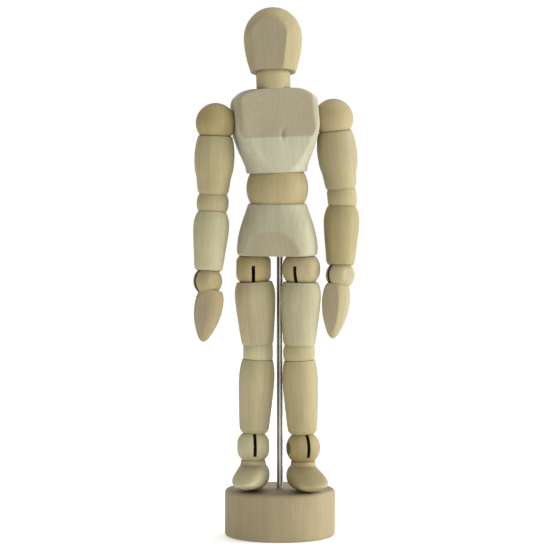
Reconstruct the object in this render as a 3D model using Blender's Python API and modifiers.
"""Jointed wooden artist mannequin on a round base, modelled piece by piece.

Metres, +Z up. The origin is the centre of the base's underside, and the figure
faces -Y. "right" and "left" are the figure's own, so its right side is at -X.
Every moving piece hangs on an empty that stands at its joint's centre.
"""
import math

import bmesh
import bpy
from mathutils import Euler, Matrix, Vector

MM = 0.001

# ---- Base and rod ----------------------------------------------------------
BASE_DIAMETER = 63.0 * MM
BASE_HEIGHT = 27.0 * MM
BASE_EDGE = 2.2 * MM
ROD_DIAMETER = 3.8 * MM
ROD_IN_BASE = 15.0 * MM
ROD_IN_PELVIS = 13.0 * MM
ROD_BEHIND_AXIS = 8.0 * MM

# ---- Clearances ------------------------------------------------------------
SEAT_GAP = 0.3 * MM
PIN_GAP = 0.3 * MM
STANDING_GAP = 0.4 * MM
RIM_WIDTH = 0.5 * MM               # flat rim round the dished end of a limb

# ---- Trunk -----------------------------------------------------------------
WAIST_RADIUS = 17.5 * MM
WAIST_HALF_HEIGHT = 13.5 * MM
WAIST_VISIBLE_HALF = 8.8 * MM
PELVIS_HEIGHT = 29.4 * MM
PELVIS_HALF_WIDTH = 22.4 * MM
PELVIS_HALF_DEPTH = 16.6 * MM
CHEST_HEIGHT = 47.4 * MM
CHEST_RIDGE = 19.8 * MM
CHEST_HALF_WIDTH = 24.8 * MM
CHEST_HALF_DEPTH = 17.0 * MM
NECK_RADIUS = 10.5 * MM
NECK_BELT_RADIUS = 9.6 * MM
NECK_VISIBLE_HALF = 4.5 * MM
PELVIS_PIN_HEIGHT = 14.6 * MM
HEAD_SPRING_LENGTH = 26.2 * MM
NECK_PEG_LENGTH = 6.0 * MM
NECK_PEG_RADIUS = 3.0 * MM
HEAD_HEIGHT = 37.4 * MM
HEAD_HALF_WIDTH = 16.6 * MM

# ---- Arms ------------------------------------------------------------------
SHOULDER_HEIGHT = 37.9 * MM        # above the centre of the waist ball
SHOULDER_RADIUS = 11.3 * MM
SHOULDER_FLAT = 9.8 * MM           # from the ball's centre to its inner flat
SHOULDER_HALF_SPAN = 33.6 * MM
UPPER_ARM = dict(span=45.0 * MM, bulge=0.32, top=9.9 * MM, widest=11.3 * MM,
                 low=9.1 * MM, bottom=8.2 * MM)
ELBOW_RADIUS = 9.2 * MM
FOREARM = dict(span=44.0 * MM, bulge=0.16, top=8.7 * MM, widest=10.1 * MM,
               low=8.1 * MM, bottom=7.6 * MM)
WRIST_RADIUS = 8.2 * MM
HAND_LENGTH = {"right": 34.2 * MM, "left": 36.2 * MM}    # wrist centre to finger tip
HAND_INSET = {"right": 2.0 * MM, "left": 1.0 * MM}    # of the leaf, towards the body
HAND_HALF_WIDTH = 8.0 * MM
HAND_HALF_THICKNESS = 5.8 * MM

# ---- Legs ------------------------------------------------------------------
HIP_HALF_SPAN = 13.7 * MM
HIP_RADIUS = 10.9 * MM
HIP_BELOW_PELVIS = 7.4 * MM
THIGH = dict(span=47.4 * MM, bulge=0.16, top=9.9 * MM, widest=11.5 * MM,
             low=9.1 * MM, bottom=8.7 * MM)
KNEE_RADIUS = 9.3 * MM
SHIN = dict(span=54.0 * MM, bulge=0.20, top=9.0 * MM, widest=10.1 * MM,
            low=8.2 * MM, bottom=7.1 * MM)
ANKLE_RADIUS = 9.8 * MM
ANKLE_HEIGHT = 24.0 * MM           # ankle centre above the sole
FOOT_HEEL = 9.5 * MM               # ankle centre back to the heel
FOOT_TOE = 30.0 * MM               # ankle centre forward to the toe
FOOT_HALF_WIDTH = 9.3 * MM
FOOT_COLLAR_DROP = 7.9 * MM        # ankle centre down to the foot's collar

# ---- Balls, pins and springs -----------------------------------------------
BALL_FLAT_SHARE = 0.9              # side flats of a ball, as a share of its radius
PIN_RADIUS = 0.6 * MM
WIRE_RADIUS = 0.35 * MM
EYE_RADIUS = 1.5 * MM
EYE_OFFSET = 0.6 * MM              # a pin's two eyes sit side by side
COIL_RADIUS = 2.0 * MM
COIL_TURNS = 3
SLOT_WIDTH = 2.5 * MM
SLOT_HUB = EYE_RADIUS + WIRE_RADIUS + SEAT_GAP
BORE_RADIUS = COIL_RADIUS + WIRE_RADIUS + 0.6 * MM
BALL_BORE_RADIUS = SLOT_HUB

# ---- Rest pose, in degrees --------------------------------------------------
FIGURE_TURN = -11.0
CHEST_TURN = 9.0
CHEST_LEAN = -2.2
HEAD_TURN = -10.0
HEAD_TILT = -10.0
ARM_OUT = {"right": 2.3, "left": 6.4}
ELBOW_TURN = {"right": -15.0, "left": 0.0}
ELBOW_BEND = {"right": 5.0, "left": 6.0}
FOREARM_IN = {"right": 0.0, "left": 7.7}
WRIST_TURN = {"right": -60.0, "left": -56.0}
WRIST_BEND = {"right": 3.5, "left": 6.0}
HAND_TURN = {"right": -20.0, "left": 25.0}
HIP_TURN = {"right": 0.0, "left": -20.0}
THIGH_IN = {"right": 3.0, "left": 1.3}
KNEE_TURN = {"right": 2.0, "left": -12.0}
SHIN_OUT = {"right": 2.9, "left": 2.4}
ANKLE_TURN = {"right": 7.0, "left": 19.0}
FOOT_TURN = {"right": -11.0, "left": 17.0}

SIDES = {"right": -1, "left": 1}
LIMB_STEPS = 12
BALL_STEPS = 12
LOFT_POINTS = 16

# ---- Colours ----------------------------------------------------------------
PALE = (0.62, 0.52, 0.34)
WARM = (0.56, 0.45, 0.28)
STEEL = (0.42, 0.41, 0.38)

WORLD = {}                         # world matrix of every joint empty, by name


# ---- Scene plumbing ---------------------------------------------------------
def clear_scene():
    for old in list(bpy.data.objects):
        bpy.data.objects.remove(old, do_unlink=True)


def collection(name):
    group = bpy.data.collections.new(name)
    bpy.context.scene.collection.children.link(group)
    return group


def material(name, colour, roughness, metallic):
    made = bpy.data.materials.new(name)
    made.use_nodes = True
    shader = made.node_tree.nodes["Principled BSDF"]
    shader.inputs["Base Color"].default_value = (*colour, 1.0)
    shader.inputs["Roughness"].default_value = roughness
    shader.inputs["Metallic"].default_value = metallic
    made.diffuse_color = (*colour, 1.0)
    return made


def shaded_colour(name):
    """A wood tone of its own for each piece, worked out from its name."""
    step = sum(ord(letter) for letter in name) % 7 / 6.0
    return tuple(w + (p - w) * step for p, w in zip(PALE, WARM))


def finish_piece(piece, joint, metal=False):
    """Files a piece in the mannequin's collection, on its joint, in its own material."""
    MANNEQUIN.objects.link(piece)
    piece.parent = joint
    if metal:
        made = material(piece.name + "_steel", STEEL, 0.3, 1.0)
    else:
        made = material(piece.name + "_wood", shaded_colour(piece.name), 0.55, 0.0)
    piece.data.materials.append(made)
    if isinstance(piece.data, bpy.types.Mesh):
        piece.data.shade_smooth()
        piece.data.set_sharp_from_angle(angle=math.radians(35))
    return piece


def facing(yaw, tilt=0.0, lean=0.0):
    """World directions, in degrees: turned about Z, then leaned and tilted."""
    angles = Euler([math.radians(a) for a in (tilt, lean, yaw)], "XYZ")
    return angles.to_matrix().to_4x4()


def hinged(yaw, bend=0.0):
    """A turn about the parent's Z, then a bend that swings what hangs forward."""
    return Matrix.Rotation(math.radians(yaw), 4, "Z") @ Matrix.Rotation(
        math.radians(-bend), 4, "X")


def joint_empty(name, parent, place, directions=None, local=None):
    """An empty at a place in its parent's frame.

    Its axes are world directions, or a local turn from its parent's axes.
    """
    empty = bpy.data.objects.new(name, None)
    empty.empty_display_size = 5 * MM
    MANNEQUIN.objects.link(empty)
    above = WORLD[parent.name] if parent else Matrix.Identity(4)
    if directions is None:
        directions = above.to_3x3().to_4x4() @ (local or Matrix.Identity(4))
    WORLD[name] = Matrix.Translation(above @ Vector(place)) @ directions
    empty.parent = parent
    empty.matrix_local = above.inverted() @ WORLD[name]
    return empty


def mesh_object(name, shape):
    """Turns a bmesh into an object with outward faces."""
    bmesh.ops.recalc_face_normals(shape, faces=shape.faces)
    mesh = bpy.data.meshes.new(name)
    shape.to_mesh(mesh)
    shape.free()
    return bpy.data.objects.new(name, mesh)


# ---- Shapes -----------------------------------------------------------------
def turned(name, profile, steps=LIMB_STEPS):
    """A lathe-turned piece: (radius, height) points down its outside, then up its bore."""
    mesh = bpy.data.meshes.new(name)
    points = [(radius, 0.0, height) for radius, height in profile]
    edges = [(i, i + 1) for i in range(len(points) - 1)]
    bored = profile[0][0] > 0 and profile[-1][0] > 0
    if bored:
        edges.append((len(points) - 1, 0))
    mesh.from_pydata(points, edges, [])
    piece = bpy.data.objects.new(name, mesh)
    lathe = piece.modifiers.new("Lathe", "SCREW")
    lathe.axis = "Z"
    lathe.angle = math.tau
    lathe.steps = steps
    lathe.render_steps = steps
    lathe.use_merge_vertices = True
    lathe.merge_threshold = 0.01 * MM
    lathe.use_smooth_shade = True
    return piece


def cylinder(name, radius, length, axis="Z", middle=(0, 0, 0), sides=12):
    """A closed cylinder along X, Y or Z."""
    shape = bmesh.new()
    bmesh.ops.create_cone(shape, cap_ends=True, segments=sides, radius1=radius,
                          radius2=radius, depth=length)
    turns = {"X": Matrix.Rotation(math.pi / 2, 4, "Y"),
             "Y": Matrix.Rotation(math.pi / 2, 4, "X"),
             "Z": Matrix.Identity(4)}
    bmesh.ops.transform(shape, matrix=Matrix.Translation(middle) @ turns[axis],
                        verts=shape.verts)
    return mesh_object(name, shape)


def sphere(name, radius, middle=(0, 0, 0), steps=BALL_STEPS):
    shape = bmesh.new()
    bmesh.ops.create_uvsphere(shape, u_segments=steps, v_segments=steps // 2 + 1,
                              radius=radius)
    bmesh.ops.translate(shape, vec=middle, verts=shape.verts)
    return mesh_object(name, shape)


def seat_radius(radius, steps=BALL_STEPS):
    """Corner radius of a seat whose flat faces stay SEAT_GAP outside its ball."""
    inner = math.cos(math.pi / steps) * math.cos(math.pi / (2 * (steps // 2 + 1)))
    return (radius + SEAT_GAP) / inner


def seat(name, radius, middle=(0, 0, 0), steps=BALL_STEPS):
    """A cutter for the seat of a ball, turned so that no edge meets a lathe's edge."""
    cutter = sphere(name, seat_radius(radius, steps), (0, 0, 0), steps)
    cutter.data.transform(Matrix.Translation(middle) @ Matrix.Rotation(0.11, 4, "Z"))
    return cutter


def box(name, low, high, turn=(0, 0, 0), about=(0, 0, 0)):
    """A box between two corners, turned about a point by angles in degrees."""
    shape = bmesh.new()
    bmesh.ops.create_cube(shape, size=1.0)
    size = [b - a for a, b in zip(low, high)]
    middle = [(a + b) / 2 for a, b in zip(low, high)]
    angles = Euler([math.radians(a) for a in turn], "XYZ").to_matrix().to_4x4()
    there = Matrix.Translation(about)
    fit = there @ angles @ there.inverted() @ Matrix.Translation(middle)
    bmesh.ops.transform(shape, matrix=fit @ Matrix.Diagonal((*size, 1.0)),
                        verts=shape.verts)
    return mesh_object(name, shape)


def oval(half_width, half_depth, square, count=LOFT_POINTS):
    """Points of a superellipse; square 2 is an ellipse, and more is boxier."""
    points = []
    for i in range(count):
        angle = math.tau * (i + 0.5) / count
        c, s = math.cos(angle), math.sin(angle)
        points.append((math.copysign(abs(c) ** (2 / square), c) * half_width,
                       math.copysign(abs(s) ** (2 / square), s) * half_depth))
    return points


def loft(name, sections, upright=True):
    """Joins oval sections; each is (place, half_width, half_depth, square, shift).

    Upright sections lie across Z and shift along Y; the others lie across Y, with
    half_depth measured along Z and shift raising their centre.
    """
    shape = bmesh.new()
    rings = []
    for place, half_width, half_depth, square, shift in sections:
        ring = []
        for a, b in oval(half_width, half_depth, square):
            spot = (a, b + shift, place) if upright else (a, place, b + shift)
            ring.append(shape.verts.new(spot))
        rings.append(ring)
    for lower, upper in zip(rings, rings[1:]):
        for i in range(LOFT_POINTS):
            j = (i + 1) % LOFT_POINTS
            shape.faces.new((lower[i], lower[j], upper[j], upper[i]))
    shape.faces.new(rings[0])
    shape.faces.new(rings[-1])
    return mesh_object(name, shape)


def cut(piece, *cutters):
    """Takes cutters, given in the piece's own frame, out of the piece."""
    for cutter in cutters:
        CUTTERS.objects.link(cutter)
        cutter.parent = piece
        cutter.hide_render = True
        cutter.display_type = "WIRE"
        step = piece.modifiers.new("Cut_" + cutter.name[:30], "BOOLEAN")
        step.operation = "DIFFERENCE"
        step.object = cutter
    return piece


def sector(name, start, stop, radius, axis):
    """A slot cutter: a round hub and a fan from start to stop degrees.

    Angles are measured from straight down (-Z) towards the front (-Y), or towards
    -X where the pin lies along Y.
    """
    points = []
    fan_steps = 4
    hub_steps = 5
    for i in range(fan_steps + 1):
        angle = math.radians(start + (stop - start) * i / fan_steps)
        points.append((radius, angle))
    for i in range(1, hub_steps):
        angle = math.radians(stop + (360 - stop + start) * i / hub_steps)
        points.append((SLOT_HUB, angle))
    shape = bmesh.new()
    rings = []
    for side in (-SLOT_WIDTH / 2, SLOT_WIDTH / 2):
        ring = []
        for reach, angle in points:
            out, down = -math.sin(angle) * reach, -math.cos(angle) * reach
            spot = (side, out, down) if axis == "X" else (out, side, down)
            ring.append(shape.verts.new(spot))
        rings.append(ring)
    shape.faces.new(rings[0])
    shape.faces.new(rings[1])
    for i in range(len(points)):
        j = (i + 1) % len(points)
        shape.faces.new((rings[0][i], rings[0][j], rings[1][j], rings[1][i]))
    return mesh_object(name, shape)


# ---- Repeated pieces --------------------------------------------------------
def ball(name, radius, joint, slot, bore_up, flat_top=None):
    """A ball with flat sides, a slot for one spring and a bore for the other."""
    piece = sphere(name, radius)
    flat = radius * BALL_FLAT_SHARE
    far = radius * 2
    reach = radius * 1.3
    bore_middle = (0, 0, reach / 2 if bore_up else -reach / 2)
    cut(piece,
        box(name + "_flat_a", (flat, -far, -far), (far, far, far)),
        box(name + "_flat_b", (-far, -far, -far), (-flat, far, far)))
    if flat_top is not None:
        cut(piece, box(name + "_flat_top", (-far, -far, flat_top), (far, far, far)))
    cut(piece,
        sector(name + "_slot", slot[0], slot[1], reach, "X"),
        cylinder(name + "_bore", BALL_BORE_RADIUS, reach, "Z", bore_middle, 8),
        cylinder(name + "_pin_hole", PIN_RADIUS + PIN_GAP, 2.4 * radius, "X", sides=6))
    finish_piece(piece, joint)
    pin(name.replace("_ball", "_pin"), 2 * flat - 2 * MM, joint)
    return piece


def pin(name, length, joint, axis="X", middle=(0, 0, 0)):
    piece = cylinder(name, PIN_RADIUS, length, axis, middle, 8)
    return finish_piece(piece, joint, metal=True)


def rim_gap(ball_radius, limb_radius):
    """From a ball's centre to the limb's end, where the dish leaves RIM_WIDTH."""
    return math.sqrt(seat_radius(ball_radius) ** 2 - (limb_radius - RIM_WIDTH) ** 2)


def limb(name, sizes, top_ball, bottom_ball, joint):
    """A turned limb that hangs from its upper ball's centre, dished at both ends."""
    top = -rim_gap(top_ball, sizes["top"])
    end = -sizes["span"] + rim_gap(bottom_ball, sizes["bottom"])
    length = top - end
    fall = sizes["widest"] - sizes["low"]
    bulge, rest = sizes["bulge"] * length, (1 - sizes["bulge"]) * length
    profile = [(sizes["top"], top),
               (sizes["widest"], top - bulge),
               (sizes["widest"] - 0.12 * fall, top - bulge - 0.25 * rest),
               (sizes["widest"] - 0.5 * fall, top - bulge - 0.55 * rest),
               (sizes["low"], end + 1.5 * MM),
               (sizes["bottom"], end),
               (BORE_RADIUS, end),
               (BORE_RADIUS, top)]
    piece = turned(name, profile)
    cut(piece,
        seat(name + "_top_seat", top_ball),
        seat(name + "_bottom_seat", bottom_ball, (0, 0, -sizes["span"])))
    return finish_piece(piece, joint)


def eye_points(height, yaw, offset, opening):
    """An eye round a pin, on the side of the pin away from the coil."""
    count = 5
    points = []
    for i in range(count):
        angle = math.radians(opening + 300 * i / (count - 1))
        across = math.sin(angle) * EYE_RADIUS
        spot = Vector((offset, across, height + math.cos(angle) * EYE_RADIUS))
        points.append(Matrix.Rotation(math.radians(yaw), 3, "Z") @ spot)
    return points


def leg_point(offset, yaw, height):
    """Where a spring's straight leg meets its coil, in line with its eye."""
    return Matrix.Rotation(math.radians(yaw), 3, "Z") @ Vector((offset, 0.0, height))


def spring(name, span, top_reach, bottom_reach, joint, place=None, yaws=(0.0, 0.0),
           offsets=(0.0, 0.0), bottom_eye=True):
    """A tension spring from a pin at the frame's origin to a pin at -span on Z.

    The coil starts top_reach below the upper pin and ends bottom_reach above the
    lower one. yaws turn the two pins about Z, and offsets set the eyes along them.
    """
    per_turn = 5
    lead = 0.8 * MM
    start, stop = -top_reach - lead, -span + bottom_reach + lead
    points = list(reversed(eye_points(0.0, yaws[0], offsets[0], 210)))
    points.append(leg_point(offsets[0], yaws[0], -top_reach))
    for i in range(COIL_TURNS * per_turn + 1):
        share = i / (COIL_TURNS * per_turn)
        angle = math.tau * COIL_TURNS * share
        points.append(Vector((math.cos(angle) * COIL_RADIUS,
                              math.sin(angle) * COIL_RADIUS,
                              start + (stop - start) * share)))
    if bottom_eye:
        points.append(leg_point(offsets[1], yaws[1], -span + bottom_reach))
        points += eye_points(-span, yaws[1], offsets[1], 30)
    else:
        points.append(Vector((0.0, 0.0, stop - lead)))
        points.append(Vector((0.0, 0.0, -span)))
    curve = bpy.data.curves.new(name, "CURVE")
    curve.dimensions = "3D"
    curve.bevel_depth = WIRE_RADIUS
    curve.bevel_resolution = 0
    curve.use_fill_caps = True
    line = curve.splines.new("POLY")
    line.points.add(len(points) - 1)
    for target, point in zip(line.points, points):
        target.co = (*point, 1.0)
    piece = bpy.data.objects.new(name, curve)
    finish_piece(piece, joint, metal=True)
    if place is not None:
        piece.matrix_local = place
    return piece


# ---- Base -------------------------------------------------------------------
def make_base():
    half = BASE_DIAMETER / 2
    step = BASE_EDGE * (1 - math.sqrt(0.5))
    profile = [(0, BASE_HEIGHT),
               (half - BASE_EDGE, BASE_HEIGHT),
               (half - step, BASE_HEIGHT - step),
               (half, BASE_HEIGHT - BASE_EDGE),
               (half, BASE_EDGE),
               (half - step, step),
               (half - BASE_EDGE, 0),
               (0, 0)]
    base = turned("base", profile, 32)
    socket_depth = ROD_IN_BASE + SEAT_GAP
    cut(base, cylinder("rod_socket", ROD_DIAMETER / 2 + SEAT_GAP, 2 * socket_depth, "Z",
                       (0, 0, BASE_HEIGHT)))
    finish_piece(base, None)


def make_rod():
    bottom = BASE_HEIGHT - ROD_IN_BASE
    top = PELVIS_BOTTOM + ROD_IN_PELVIS
    rod = cylinder("support_rod", ROD_DIAMETER / 2, top - bottom, "Z",
                   (0, 0, (top + bottom) / 2), 16)
    finish_piece(rod, None, metal=True)


# ---- Trunk ------------------------------------------------------------------
def make_pelvis(joint):
    """The joint stands on the rod, at the height of the pelvis's underside."""
    wide, deep, high = PELVIS_HALF_WIDTH, PELVIS_HALF_DEPTH, PELVIS_HEIGHT
    axis = -ROD_BEHIND_AXIS
    sections = [(0.0, wide - 2.0 * MM, deep - 2.2 * MM, 2.6, axis),
                (0.8 * MM, wide - 0.8 * MM, deep - 0.9 * MM, 2.6, axis),
                (3.0 * MM, wide, deep, 2.5, axis),
                (0.35 * high, wide - 1.0 * MM, deep, 2.4, axis),
                (0.65 * high, wide - 2.9 * MM, deep - 0.2 * MM, 2.2, axis),
                (0.90 * high, wide - 4.9 * MM, deep - 0.4 * MM, 2.0, axis),
                (high, wide - 6.0 * MM, deep - 0.9 * MM, 2.0, axis)]
    pelvis = loft("pelvis", sections)
    front = axis - deep
    hip_bore_top = 17.0 * MM
    cut(pelvis,
        box("pelvis_belly_facet", (-wide * 2, front - 20 * MM, -20 * MM),
            (wide * 2, front, 40 * MM), (12, 0, 0), (0, front, 0.6 * high)),
        seat("pelvis_waist_seat", WAIST_RADIUS, (0, axis, WAIST_ABOVE_PELVIS), 16),
        cylinder("pelvis_centre_bore", BORE_RADIUS, 24 * MM, "Z", (0, axis, 24 * MM)),
        cylinder("pelvis_rod_socket", ROD_DIAMETER / 2 + SEAT_GAP,
                 2 * (ROD_IN_PELVIS + SEAT_GAP)))
    for side in SIDES.values():
        cut(pelvis, cylinder("pelvis_hip_bore", BORE_RADIUS, 2 * hip_bore_top, "Z",
                             (side * HIP_HALF_SPAN, axis, 0)))
    cut(pelvis, cylinder("pelvis_pin_hole", PIN_RADIUS + PIN_GAP, 2 * HIP_HALF_SPAN + 8 * MM,
                         "X", (0, axis, PELVIS_PIN_HEIGHT), 8))
    finish_piece(pelvis, joint)
    pin("pelvis_pin", 2 * HIP_HALF_SPAN + 6 * MM, joint, "X", (0, axis, PELVIS_PIN_HEIGHT))


def make_waist(joint):
    half = WAIST_HALF_HEIGHT
    rings = 6
    profile = []
    limit = math.asin(half / WAIST_RADIUS)
    for i in range(rings + 1):
        angle = limit - 2 * limit * i / rings
        profile.append((math.cos(angle) * WAIST_RADIUS, math.sin(angle) * WAIST_RADIUS))
    mouth = BORE_RADIUS + 3.0 * MM
    profile += [(mouth, -half), (BORE_RADIUS, 0.0), (mouth, half)]
    waist = turned("waist", profile, 20)
    cut(waist, cylinder("waist_pin_hole", PIN_RADIUS + PIN_GAP, 2.4 * WAIST_RADIUS, "X",
                        sides=8))
    finish_piece(waist, joint)
    pin("waist_pin", 2 * WAIST_RADIUS - 3 * MM, joint)


def make_chest(joint):
    """The joint stands at the centre of the waist ball."""
    low = WAIST_VISIBLE_HALF
    wide, deep, high, ridge = CHEST_HALF_WIDTH, CHEST_HALF_DEPTH, CHEST_HEIGHT, CHEST_RIDGE
    sections = [(low, wide - 8.0 * MM, deep - 1.6 * MM, 2.0, 0),
                (low + 0.40 * ridge, wide - 6.3 * MM, deep - 1.0 * MM, 2.4, 0),
                (low + 0.80 * ridge, wide - 3.1 * MM, deep - 0.2 * MM, 2.9, 0),
                (low + ridge, wide - 1.2 * MM, deep, 3.5, 0),
                (low + 0.61 * high, wide, deep - 1.9 * MM, 3.7, 0),
                (low + 0.80 * high, wide, deep - 3.6 * MM, 3.5, 0),
                (low + 0.89 * high, wide - 0.8 * MM, deep - 4.4 * MM, 3.1, 0),
                (low + 0.95 * high, wide - 4.0 * MM, deep - 5.2 * MM, 2.6, 0),
                (low + high, wide - 9.4 * MM, deep - 6.0 * MM, 2.2, 0)]
    chest = loft("chest", sections)
    flat = SHOULDER_HALF_SPAN - SHOULDER_FLAT - SEAT_GAP
    far = 60 * MM
    neck = (0, 0, NECK_ABOVE_WAIST)
    cut(chest,
        box("chest_flat_a", (flat, -far, low + 0.6 * ridge), (far, far, 2 * far)),
        box("chest_flat_b", (-far, -far, low + 0.6 * ridge), (-flat, far, 2 * far)),
        seat("chest_waist_seat", WAIST_RADIUS, steps=16),
        seat("chest_neck_seat", NECK_RADIUS, neck),
        cylinder("chest_centre_bore", BORE_RADIUS, 28 * MM, "Z", (0, 0, 27 * MM)),
        cylinder("chest_peg_hole", NECK_PEG_RADIUS + SEAT_GAP, 9 * MM, "Z",
                 (0, 0, NECK_ABOVE_WAIST - NECK_RADIUS - 2.5 * MM)),
        cylinder("chest_shoulder_bore", BORE_RADIUS + 0.3 * MM, 2 * far, "X",
                 (0, 0, SHOULDER_HEIGHT)))
    finish_piece(chest, joint)


def make_neck(joint):
    """A ball with its waistline turned down to a straight belt, and a peg below."""
    belt_half = math.sqrt(NECK_RADIUS ** 2 - NECK_BELT_RADIUS ** 2)
    start = math.asin(belt_half / NECK_RADIUS)
    rings = 4
    peg_at = math.asin(NECK_PEG_RADIUS / NECK_RADIUS)
    top = [(math.sin(a) * NECK_RADIUS, math.cos(a) * NECK_RADIUS)
           for a in [(math.pi / 2 - start) * i / rings for i in range(1, rings + 1)]]
    under = [peg_at + (math.pi / 2 - start - peg_at) * i / rings
             for i in range(rings, -1, -1)]
    low = [(math.sin(a) * NECK_RADIUS, -math.cos(a) * NECK_RADIUS) for a in under]
    peg_end = -NECK_RADIUS - NECK_PEG_LENGTH
    profile = [(0, NECK_RADIUS)] + top + low
    profile += [(NECK_PEG_RADIUS, peg_end), (0, peg_end)]
    neck = turned("neck", profile, 14)
    cut(neck,
        sector("neck_slot", 150, 210, 1.3 * NECK_RADIUS, "X"),
        cylinder("neck_pin_hole", PIN_RADIUS + PIN_GAP, 3 * NECK_RADIUS, "X", sides=6))
    finish_piece(neck, joint)
    pin("neck_pin", 2 * NECK_BELT_RADIUS - 2 * MM, joint)


def make_head(joint):
    """The joint stands at the centre of the neck's ball; the head sits above it."""
    low = NECK_VISIBLE_HALF
    wide, high = HEAD_HALF_WIDTH, HEAD_HEIGHT
    shape = [(0.0, 4.0), (0.21, 1.6), (0.42, 0.4), (0.54, 0.1), (0.64, 0.5),
             (0.76, 2.2), (0.87, 5.6), (0.95, 9.8), (0.99, 13.8)]
    sections = [(low + share * high, wide - less * MM, wide - less * MM, 2.0, 0)
                for share, less in shape]
    head = loft("head", sections)
    face = 12.4 * MM
    far = 60 * MM
    cheek = 15.5 * MM
    middle = low + 0.41 * high
    cut(head,
        box("head_face", (-far, -far, -far), (far, -face, far), (6.5, 0, 0), (0, 0, middle)),
        box("head_cheek_a", (-far, -far, -far), (far, -cheek, far), (10, 0, 50),
            (0, 0, middle)),
        box("head_cheek_b", (-far, -far, -far), (far, -cheek, far), (10, 0, -50),
            (0, 0, middle)),
        seat("head_neck_seat", NECK_RADIUS),
        cylinder("head_bore", BORE_RADIUS, 16 * MM, "Z", (0, 0, 14 * MM)),
        cylinder("head_wire_hole", WIRE_RADIUS + PIN_GAP, 12 * MM, "Z", (0, 0, 22 * MM), 8))
    finish_piece(head, joint)


# ---- Arms -------------------------------------------------------------------
def make_shoulder_ball(side_name, side, joint):
    name = side_name + "_shoulder_ball"
    piece = sphere(name, SHOULDER_RADIUS, steps=14)
    far = 3 * SHOULDER_RADIUS
    inner = sorted((-side * SHOULDER_FLAT, -side * far))
    reach = 1.3 * SHOULDER_RADIUS
    fan = sorted((side * 12, -side * 92))
    cut(piece,
        box(name + "_flat", (inner[0], -far, -far), (inner[1], far, far)),
        sector(name + "_slot", fan[0], fan[1], reach, "Y"),
        cylinder(name + "_bore", BALL_BORE_RADIUS, reach, "X", (-side * reach / 2, 0, 0), 8),
        cylinder(name + "_pin_hole", PIN_RADIUS + PIN_GAP, 3 * SHOULDER_RADIUS, "Y", sides=6))
    finish_piece(piece, joint)
    pin(side_name + "_shoulder_pin", 2 * SHOULDER_RADIUS - 2.5 * MM, joint, "Y")


def make_hand(name, length, inset, joint):
    """A flat leaf of a hand under the wrist ball, set beside its centre by inset."""
    wide, thick = HAND_HALF_WIDTH, HAND_HALF_THICKNESS
    top = -5.4 * MM
    shape = [(0.0, 2.1, 0.4), (0.08, 1.1, 0.0), (0.28, 0.0, 0.0), (0.50, 0.4, 0.7),
             (0.70, 2.0, 1.7), (0.87, 4.4, 2.9), (0.97, 6.5, 4.4)]
    sections = []
    for share, narrower, thinner in reversed(shape):
        height = top - share * (length + top)
        curl = -2.2 * MM * share ** 2
        sections.append((height, wide - narrower * MM, thick - thinner * MM, 2.2, curl))
    hand = loft(name, sections)
    hand.location.x = inset
    cut(hand, seat(name + "_seat", WRIST_RADIUS, (-inset, 0, 0)))
    finish_piece(hand, joint)


# ---- Legs -------------------------------------------------------------------
def make_foot(name, joint):
    """A foot on a flat sole, with a rounded heel, a rocker toe and a collar."""
    sole = -ANKLE_HEIGHT
    heel, toe, wide = FOOT_HEEL, FOOT_TOE, FOOT_HALF_WIDTH
    shape = [(heel, 0.34, 4.6, 10.5), (heel - 1.6 * MM, 0.68, 2.4, 13.6),
             (heel - 5.5 * MM, 0.93, 0.5, 15.9), (0.0, 1.0, 0.0, 16.2),
             (-0.27 * toe, 0.97, 0.2, 15.7), (-0.52 * toe, 0.93, 1.6, 14.6),
             (-0.75 * toe, 0.85, 3.0, 12.8), (-0.91 * toe, 0.64, 4.4, 10.9),
             (-1.0 * toe, 0.28, 6.0, 8.6)]
    sections = []
    for place, share, bottom, top in shape:
        middle = sole + (top + bottom) / 2 * MM
        half = (top - bottom) / 2 * MM
        sections.append((place, wide * share, half, 2.5, middle))
    foot = loft(name, sections, upright=False)
    collar = cylinder(name + "_collar", 7.0 * MM, 7.0 * MM, "Z",
                      (0, 0, -FOOT_COLLAR_DROP - 3.5 * MM), 14)
    CUTTERS.objects.link(collar)
    collar.parent = foot
    collar.hide_render = True
    collar.display_type = "WIRE"
    joined = foot.modifiers.new("Collar", "BOOLEAN")
    joined.operation = "UNION"
    joined.object = collar
    cut(foot,
        box(name + "_above_collar", (-40 * MM, -60 * MM, -FOOT_COLLAR_DROP),
            (40 * MM, 60 * MM, 20 * MM)),
        seat(name + "_seat", ANKLE_RADIUS))
    finish_piece(foot, joint)


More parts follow.
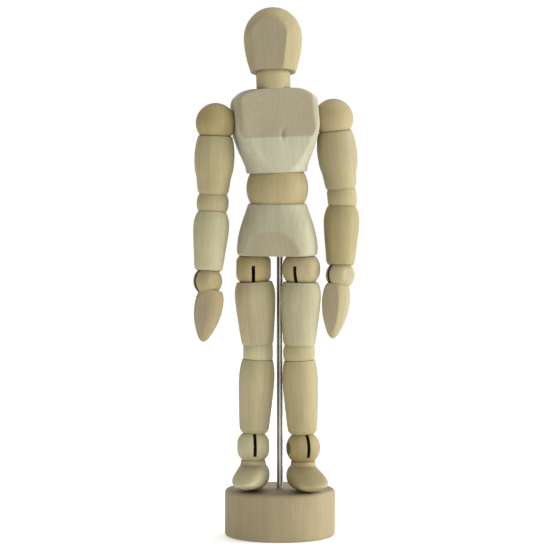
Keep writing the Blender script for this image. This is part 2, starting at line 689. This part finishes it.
# ---- Assembly ---------------------------------------------------------------
def make_arm(side_name, side, chest_joint):
    s = side_name
    swing = joint_empty(s + "_shoulder_swing", chest_joint,
                        (side * SHOULDER_HALF_SPAN, 0, SHOULDER_HEIGHT))
    make_shoulder_ball(s, side, swing)
    arm = joint_empty(s + "_arm_lift", swing, (0, 0, 0),
                      facing(CHEST_TURN, lean=-side * ARM_OUT[s]))
    limb(s + "_upper_arm", UPPER_ARM, SHOULDER_RADIUS, ELBOW_RADIUS, arm)
    elbow_yaw = ELBOW_TURN[s] - CHEST_TURN
    elbow = joint_empty(s + "_elbow_bend", arm, (0, 0, -UPPER_ARM["span"]),
                        local=hinged(elbow_yaw, ELBOW_BEND[s]))
    ball(s + "_elbow_ball", ELBOW_RADIUS, elbow, (108, 192), bore_up=False)
    forearm = joint_empty(s + "_forearm_twist", elbow, (0, 0, 0),
                          local=facing(0, lean=side * FOREARM_IN[s]))
    limb(s + "_forearm", FOREARM, ELBOW_RADIUS, WRIST_RADIUS, forearm)
    wrist_yaw = WRIST_TURN[s] - ELBOW_TURN[s]
    wrist = joint_empty(s + "_wrist_bend", forearm, (0, 0, -FOREARM["span"]),
                        local=hinged(wrist_yaw, WRIST_BEND[s]))
    ball(s + "_wrist_ball", WRIST_RADIUS, wrist, (20, 215), bore_up=False)
    hand = joint_empty(s + "_hand_twist", wrist, (0, 0, 0),
                       local=hinged(HAND_TURN[s] - WRIST_TURN[s]))
    make_hand(s + "_hand", HAND_LENGTH[s], -side * HAND_INSET[s], hand)
    spring(s + "_upper_arm_spring", UPPER_ARM["span"], SHOULDER_RADIUS + 1 * MM,
           ELBOW_RADIUS + 1 * MM, arm, yaws=(90.0, elbow_yaw),
           offsets=(EYE_OFFSET, -side * EYE_OFFSET))
    spring(s + "_forearm_spring", FOREARM["span"], ELBOW_RADIUS + 1 * MM,
           WRIST_RADIUS + 1 * MM, forearm, yaws=(0.0, wrist_yaw),
           offsets=(side * EYE_OFFSET, 0.0))


def make_leg(side_name, side, pelvis_joint):
    s = side_name
    axis = -ROD_BEHIND_AXIS
    hip = joint_empty(s + "_hip_swivel", pelvis_joint,
                      (side * HIP_HALF_SPAN, axis, -HIP_BELOW_PELVIS), facing(HIP_TURN[s]))
    ball(s + "_hip_ball", HIP_RADIUS, hip, (-12, 112), bore_up=True,
         flat_top=HIP_BELOW_PELVIS - SEAT_GAP)
    thigh = joint_empty(s + "_thigh_lift", hip, (0, 0, 0),
                        facing(0, lean=side * THIGH_IN[s]) @ facing(HIP_TURN[s]))
    limb(s + "_thigh", THIGH, HIP_RADIUS, KNEE_RADIUS, thigh)
    knee = joint_empty(s + "_knee_swivel", thigh, (0, 0, -THIGH["span"]),
                       facing(KNEE_TURN[s]))
    ball(s + "_knee_ball", KNEE_RADIUS, knee, (-60, 12), bore_up=True)
    shin = joint_empty(s + "_knee_bend", knee, (0, 0, 0),
                       facing(0, lean=-side * SHIN_OUT[s]) @ facing(KNEE_TURN[s]))
    limb(s + "_shin", SHIN, KNEE_RADIUS, ANKLE_RADIUS, shin)
    ankle = joint_empty(s + "_ankle_bend", shin, (0, 0, -SHIN["span"]),
                        facing(ANKLE_TURN[s]))
    ball(s + "_ankle_ball", ANKLE_RADIUS, ankle, (60, 192), bore_up=False)
    foot = joint_empty(s + "_foot_swivel", ankle, (0, 0, 0), facing(FOOT_TURN[s]))
    make_foot(s + "_foot", foot)
    spring(s + "_thigh_spring", THIGH["span"], HIP_RADIUS + 1 * MM, KNEE_RADIUS + 1 * MM,
           thigh, yaws=(0.0, KNEE_TURN[s] - HIP_TURN[s]),
           offsets=(side * EYE_OFFSET, side * EYE_OFFSET))
    spring(s + "_shin_spring", SHIN["span"], KNEE_RADIUS + 1 * MM, ANKLE_RADIUS + 1 * MM,
           shin, yaws=(0.0, ANKLE_TURN[s] - KNEE_TURN[s]),
           offsets=(-side * EYE_OFFSET, 0.0))
    spring(s + "_hip_spring", PELVIS_PIN_HEIGHT + HIP_BELOW_PELVIS, 2.6 * MM,
           HIP_BELOW_PELVIS + 1 * MM, pelvis_joint,
           Matrix.Translation((side * HIP_HALF_SPAN, axis, PELVIS_PIN_HEIGHT)),
           yaws=(0.0, HIP_TURN[s] - FIGURE_TURN), offsets=(0.0, -side * EYE_OFFSET))


def leg_drop(side_name):
    """How far the ankle hangs below the hip, with the leg's two leans."""
    return (THIGH["span"] * math.cos(math.radians(THIGH_IN[side_name]))
            + SHIN["span"] * math.cos(math.radians(SHIN_OUT[side_name])))


PELVIS_BOTTOM = (BASE_HEIGHT + STANDING_GAP + ANKLE_HEIGHT + HIP_BELOW_PELVIS
                 + max(leg_drop(name) for name in SIDES))
WAIST_ABOVE_PELVIS = PELVIS_HEIGHT + WAIST_VISIBLE_HALF
NECK_ABOVE_WAIST = WAIST_VISIBLE_HALF + CHEST_HEIGHT + NECK_VISIBLE_HALF


def make_trunk():
    figure = joint_empty("figure_turn", None, (0, 0, PELVIS_BOTTOM), facing(FIGURE_TURN))
    make_pelvis(figure)
    centre = (0, -ROD_BEHIND_AXIS, WAIST_ABOVE_PELVIS)
    waist = joint_empty("waist_twist", figure, centre)
    make_waist(waist)
    chest = joint_empty("chest_bend", waist, (0, 0, 0), facing(CHEST_TURN, lean=CHEST_LEAN))
    make_chest(chest)
    neck = joint_empty("neck_turn", chest, (0, 0, NECK_ABOVE_WAIST),
                       facing(HEAD_TURN, lean=CHEST_LEAN))
    make_neck(neck)
    head = joint_empty("head_nod", neck, (0, 0, 0), local=hinged(0, -HEAD_TILT))
    make_head(head)
    trunk_springs(figure, chest, head)
    return figure, chest


def trunk_springs(figure, chest, head):
    above_pin = WAIST_ABOVE_PELVIS - PELVIS_PIN_HEIGHT
    spring("pelvis_spring", above_pin, BORE_RADIUS + 1 * MM, 2.6 * MM, figure,
           Matrix.Translation((0, -ROD_BEHIND_AXIS, WAIST_ABOVE_PELVIS)),
           offsets=(EYE_OFFSET, 0.0))
    up = Matrix.Rotation(math.pi, 4, "Y")
    spring("chest_spring", SHOULDER_HEIGHT - 3.6 * MM, WAIST_HALF_HEIGHT + 1 * MM, 3.0 * MM,
           chest, up, yaws=(CHEST_TURN - FIGURE_TURN, 0.0), offsets=(EYE_OFFSET, 0.0),
           bottom_eye=False)
    spring("head_spring", HEAD_SPRING_LENGTH, NECK_RADIUS + 0.6 * MM, 7 * MM, head, up,
           bottom_eye=False)
    across = Matrix.Translation((-SHOULDER_HALF_SPAN, 0, SHOULDER_HEIGHT))
    across = across @ Matrix.Rotation(-math.pi / 2, 4, "Y")
    spring("shoulder_spring", 2 * SHOULDER_HALF_SPAN, SHOULDER_FLAT + 1 * MM,
           SHOULDER_FLAT + 1 * MM, chest, across, yaws=(90.0, 90.0),
           offsets=(-EYE_OFFSET, -EYE_OFFSET))


clear_scene()
MANNEQUIN = collection("artist_mannequin")
CUTTERS = collection("cutters")
make_base()
make_rod()
FIGURE, CHEST = make_trunk()
for NAME, SIDE in SIDES.items():
    make_arm(NAME, SIDE, CHEST)
    make_leg(NAME, SIDE, FIGURE)
